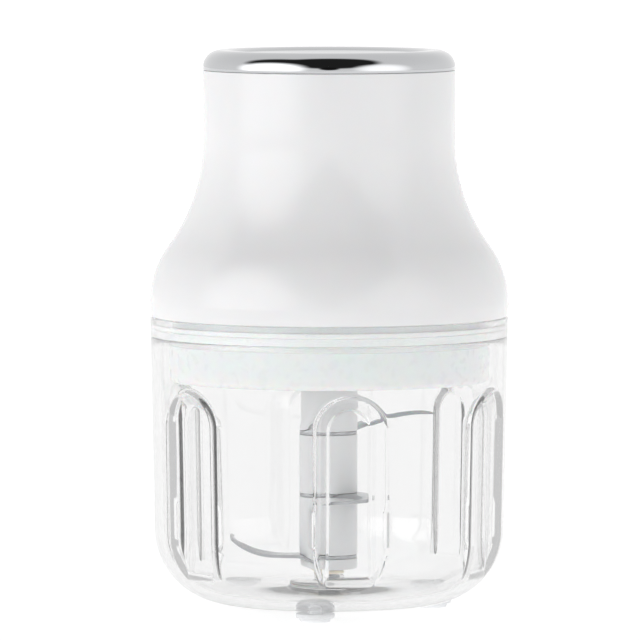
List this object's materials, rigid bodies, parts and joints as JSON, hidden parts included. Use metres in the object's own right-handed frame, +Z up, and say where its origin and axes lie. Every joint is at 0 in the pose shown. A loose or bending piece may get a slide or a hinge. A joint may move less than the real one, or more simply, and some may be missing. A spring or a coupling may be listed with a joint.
{
  "type": "mini food chopper",
  "caption": "Cordless mini food chopper: clear bowl with arch-shaped wall pockets, inner lid, stacked curved blades on a hub, and a bell-shaped white motor head with a mirror-bright button.",
  "frame": {"origin": "on the floor under the feet, on the bowl's axis", "axes": "+Z up along the axis of the bowl, blades and head; the charging port faces +Y"},
  "size_m": [0.0862, 0.0862, 0.1351],
  "materials": {
    "clear_plastic": "clear moulded",
    "milky_silicone": "translucent satin",
    "white_gloss": "high gloss moulded",
    "milky_lid": "milky gloss moulded",
    "white_hub": "satin moulded",
    "chrome_plate": "chrome plated, mirror",
    "blade_steel": "ground stainless",
    "plain_steel": "bright zinc or plain",
    "brass": "machined",
    "gear_nylon": "moulded",
    "black_plastic": "moulded",
    "magnet_ferrite": "sintered",
    "copper_winding": "enamelled copper wire",
    "cell_wrap": "foil pouch",
    "green_board": "solder mask"
  },
  "bodies": {
    "bowl": {"bowl": "clear_plastic", "bowl_pin": "plain_steel", "foot_1": "milky_silicone", "foot_2": "milky_silicone", "foot_3": "milky_silicone"},
    "washer": {"thrust_washer": "gear_nylon"},
    "blades": {"hub_end": "white_hub", "hub_spacer_lower": "white_hub", "hub_spacer_upper": "white_hub", "hub_socket": "white_hub", "hub_shaft": "gear_nylon", "hub_bush": "brass", "blade_bottom": "blade_steel", "blade_middle": "blade_steel", "blade_top": "blade_steel"},
    "lid": {"lid": "milky_lid", "lid_seal": "milky_silicone", "collar_seal": "milky_silicone"},
    "head": {"head_housing": "white_gloss", "trim_ring": "chrome_plate", "head_base": "white_gloss", "base_screw_1": "plain_steel", "base_screw_2": "plain_steel", "base_screw_3": "plain_steel", "spigot_seal": "milky_silicone", "shaft_seal": "black_plastic", "gearbox_case": "black_plastic", "output_bush": "brass", "ring_gear": "gear_nylon", "motor_plate": "plain_steel", "motor_screw_1": "plain_steel", "motor_screw_2": "plain_steel", "motor_can": "plain_steel", "motor_end_cap": "black_plastic", "magnet_left": "magnet_ferrite", "magnet_right": "magnet_ferrite", "battery_cell": "cell_wrap", "battery_bracket": "black_plastic", "control_board": "green_board", "usb_socket": "plain_steel", "button_guide": "black_plastic", "button_switch": "black_plastic", "button_spring": "plain_steel", "interlock_switch": "black_plastic"},
    "rotor": {"motor_shaft": "plain_steel", "armature": "copper_winding", "sun_gear": "brass"},
    "carrier": {"planet_carrier": "plain_steel", "drive_coupler": "white_hub", "planet_pin_1": "plain_steel", "planet_pin_2": "plain_steel", "planet_pin_3": "plain_steel"},
    "planet_gear_1": {"planet_1": "gear_nylon"},
    "planet_gear_2": {"planet_2": "gear_nylon"},
    "planet_gear_3": {"planet_3": "gear_nylon"},
    "button": {"top_button": "chrome_plate", "switch_plunger": "black_plastic"},
    "interlock": {"interlock_pin": "black_plastic"},
    "plug": {"port_plug": "milky_silicone"}
  },
  "joints": [
    {"name": "blade_spin", "type": "hinge", "parent": "bowl", "child": "washer", "pos_m": [0, 0, 0.0098], "axis": [0, 0, 1], "continuous": true},
    {"name": "lid_lift", "type": "slide", "parent": "bowl", "child": "lid", "axis": [0, 0, 1], "range_m": [0, 0.13]},
    {"name": "blade_lift", "type": "slide", "parent": "washer", "child": "blades", "axis": [0, 0, 1], "range_m": [0, 0.065]},
    {"name": "head_lift", "type": "slide", "parent": "lid", "child": "head", "axis": [0, 0, 1], "range_m": [0, 0.06]},
    {"name": "carrier_spin", "type": "hinge", "parent": "head", "child": "carrier", "pos_m": [0, 0, 0.0677], "axis": [0, 0, 1], "continuous": true},
    {"name": "rotor_spin", "type": "hinge", "parent": "head", "child": "rotor", "pos_m": [0, 0, 0.09], "axis": [0, 0, 1], "continuous": true},
    {"name": "planet_spin_1", "type": "hinge", "parent": "carrier", "child": "planet_gear_1", "pos_m": [0, 0.009, 0.071], "axis": [0, 0, 1], "continuous": true},
    {"name": "planet_spin_2", "type": "hinge", "parent": "carrier", "child": "planet_gear_2", "pos_m": [-0.00779, -0.0045, 0.071], "axis": [0, 0, 1], "continuous": true},
    {"name": "planet_spin_3", "type": "hinge", "parent": "carrier", "child": "planet_gear_3", "pos_m": [0.00779, -0.0045, 0.071], "axis": [0, 0, 1], "continuous": true},
    {"name": "button_press", "type": "slide", "parent": "head", "child": "button", "axis": [0, 0, -1], "range_m": [0, 0.0015], "stiffness_N_per_m": 600, "springref_m": -0.002, "deforming": ["button_spring"]},
    {"name": "interlock_slide", "type": "slide", "parent": "head", "child": "interlock", "axis": [0, 0, -1], "range_m": [0, 0.002]},
    {"name": "port_plug_pull", "type": "slide", "parent": "head", "child": "plug", "axis": [0, 1, 0], "range_m": [0, 0.012]}
  ],
  "couplings": [
    {"joint": "blade_lift", "follows": "lid_lift", "ratio": 0.5},
    {"joint": "carrier_spin", "follows": "blade_spin", "ratio": 1},
    {"joint": "rotor_spin", "follows": "blade_spin", "ratio": 5},
    {"joint": "planet_spin_1", "follows": "blade_spin", "ratio": -2.6667},
    {"joint": "planet_spin_2", "follows": "blade_spin", "ratio": -2.6667},
    {"joint": "planet_spin_3", "follows": "blade_spin", "ratio": -2.6667},
    {"joint": "interlock_slide", "follows": "head_lift", "ratio": 0.033333}
  ]
}
